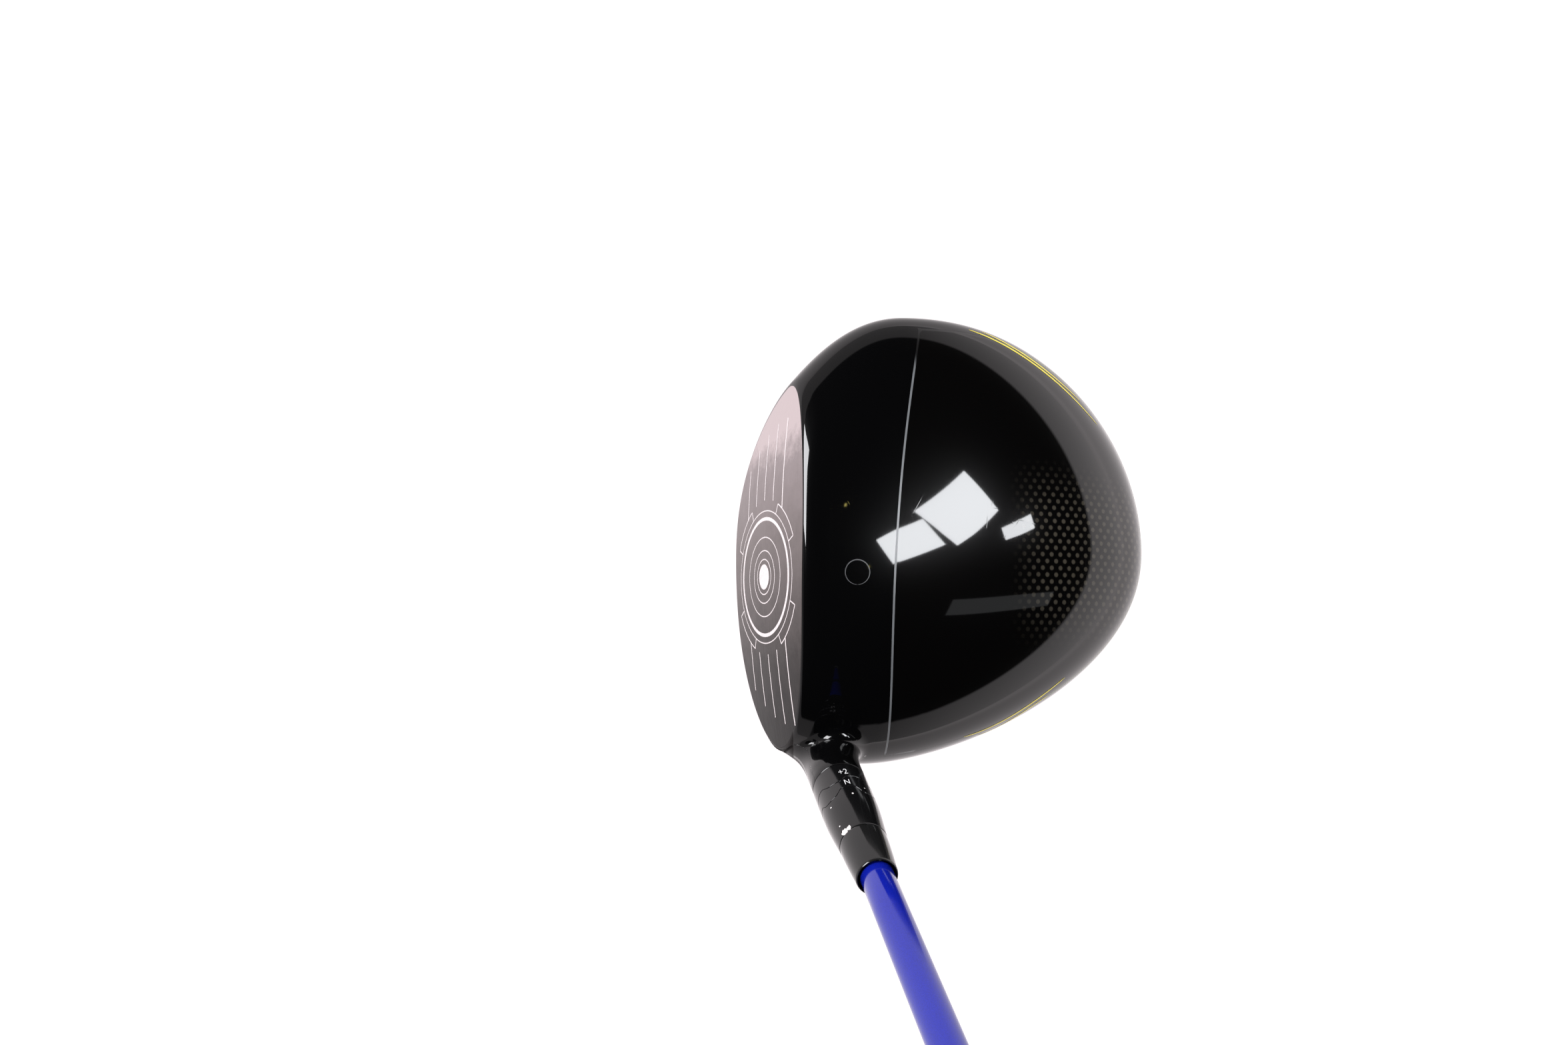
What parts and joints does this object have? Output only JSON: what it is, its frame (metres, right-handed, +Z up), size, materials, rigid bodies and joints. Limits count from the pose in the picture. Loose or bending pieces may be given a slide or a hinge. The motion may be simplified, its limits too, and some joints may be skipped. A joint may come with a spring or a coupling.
{
  "type": "golf driver",
  "caption": "Golf driver at address: hollow rounded head with bonded panels, adjustable hosel rings, sliding rear weight, tapered shaft and rubber grip.",
  "frame": {"origin": "on the ground at the small flat on the sole, in line with the face centre", "axes": "+Z up, face looks to -Y, toe to -X, shaft rises towards +X at a 59 degree lie in the XZ plane"},
  "size_m": [0.7099, 0.1199, 0.9976],
  "materials": {
    "face_metal": "satin brushed",
    "black_paint": "gloss black",
    "carbon": "gloss black laminate",
    "sole_sheet": "gloss black laminate with weave",
    "bar_metal": "cast titanium, blasted",
    "rail_metal": "black anodised",
    "weight_metal": "dense metal, satin",
    "bolt_metal": "dark steel",
    "ring_metal": "gloss black",
    "ferrule_plastic": "gloss black",
    "shaft_paint": "gloss blue paint on graphite tube",
    "tape_fabric": "thin adhesive tape",
    "grip_rubber": "matte moulded rubber",
    "clip_plastic": "natural nylon"
  },
  "bodies": {
    "club": {"shaft": "shaft_paint", "grip": "grip_rubber", "grip_tape": "tape_fabric", "ferrule": "ferrule_plastic", "adapter_sleeve": "ring_metal"},
    "lie_ring": {"lie_ring": "ring_metal"},
    "loft_ring": {"loft_ring": "ring_metal"},
    "head": {"head_frame": "black_paint", "face_plate": "face_metal", "crown_panel": "carbon", "sole_panel_toe": "sole_sheet", "sole_panel_heel": "sole_sheet", "brace_bar_toe": "bar_metal", "brace_bar_heel": "bar_metal", "weight_track": "rail_metal", "screw_washer": "bolt_metal"},
    "hosel_screw": {"hosel_screw": "bolt_metal", "screw_clip": "clip_plastic"},
    "weight": {"sliding_weight": "weight_metal", "weight_clamp": "bolt_metal"},
    "weight_screw": {"weight_screw": "bolt_metal"}
  },
  "joints": [
    {"name": "head_release", "type": "slide", "parent": "club", "child": "head", "axis": [-0.515, 0, -0.8572], "range_m": [0, 0.04]},
    {"name": "lie_ring_turn", "type": "hinge", "parent": "club", "child": "lie_ring", "pos_m": [0.0649, -0.0189, 0.05974], "axis": [0.515, 0, 0.8572], "continuous": true},
    {"name": "loft_ring_turn", "type": "hinge", "parent": "club", "child": "loft_ring", "pos_m": [0.06171, -0.0189, 0.05443], "axis": [0.515, 0, 0.8572], "continuous": true},
    {"name": "hosel_screw_turn", "type": "hinge", "parent": "head", "child": "hosel_screw", "pos_m": [0.04136, -0.0189, 0.02057], "axis": [-0.515, 0, -0.8572], "continuous": true},
    {"name": "weight_slide", "type": "hinge", "parent": "head", "child": "weight", "pos_m": [-0.009, 0.022, 0.0134], "axis": [0, 0, 1], "range_deg": [-24, 24]},
    {"name": "weight_screw_turn", "type": "hinge", "parent": "weight", "child": "weight_screw", "pos_m": [-0.009, 0.072, 0.0134], "axis": [0, 0.5, -0.866], "continuous": true}
  ]
}
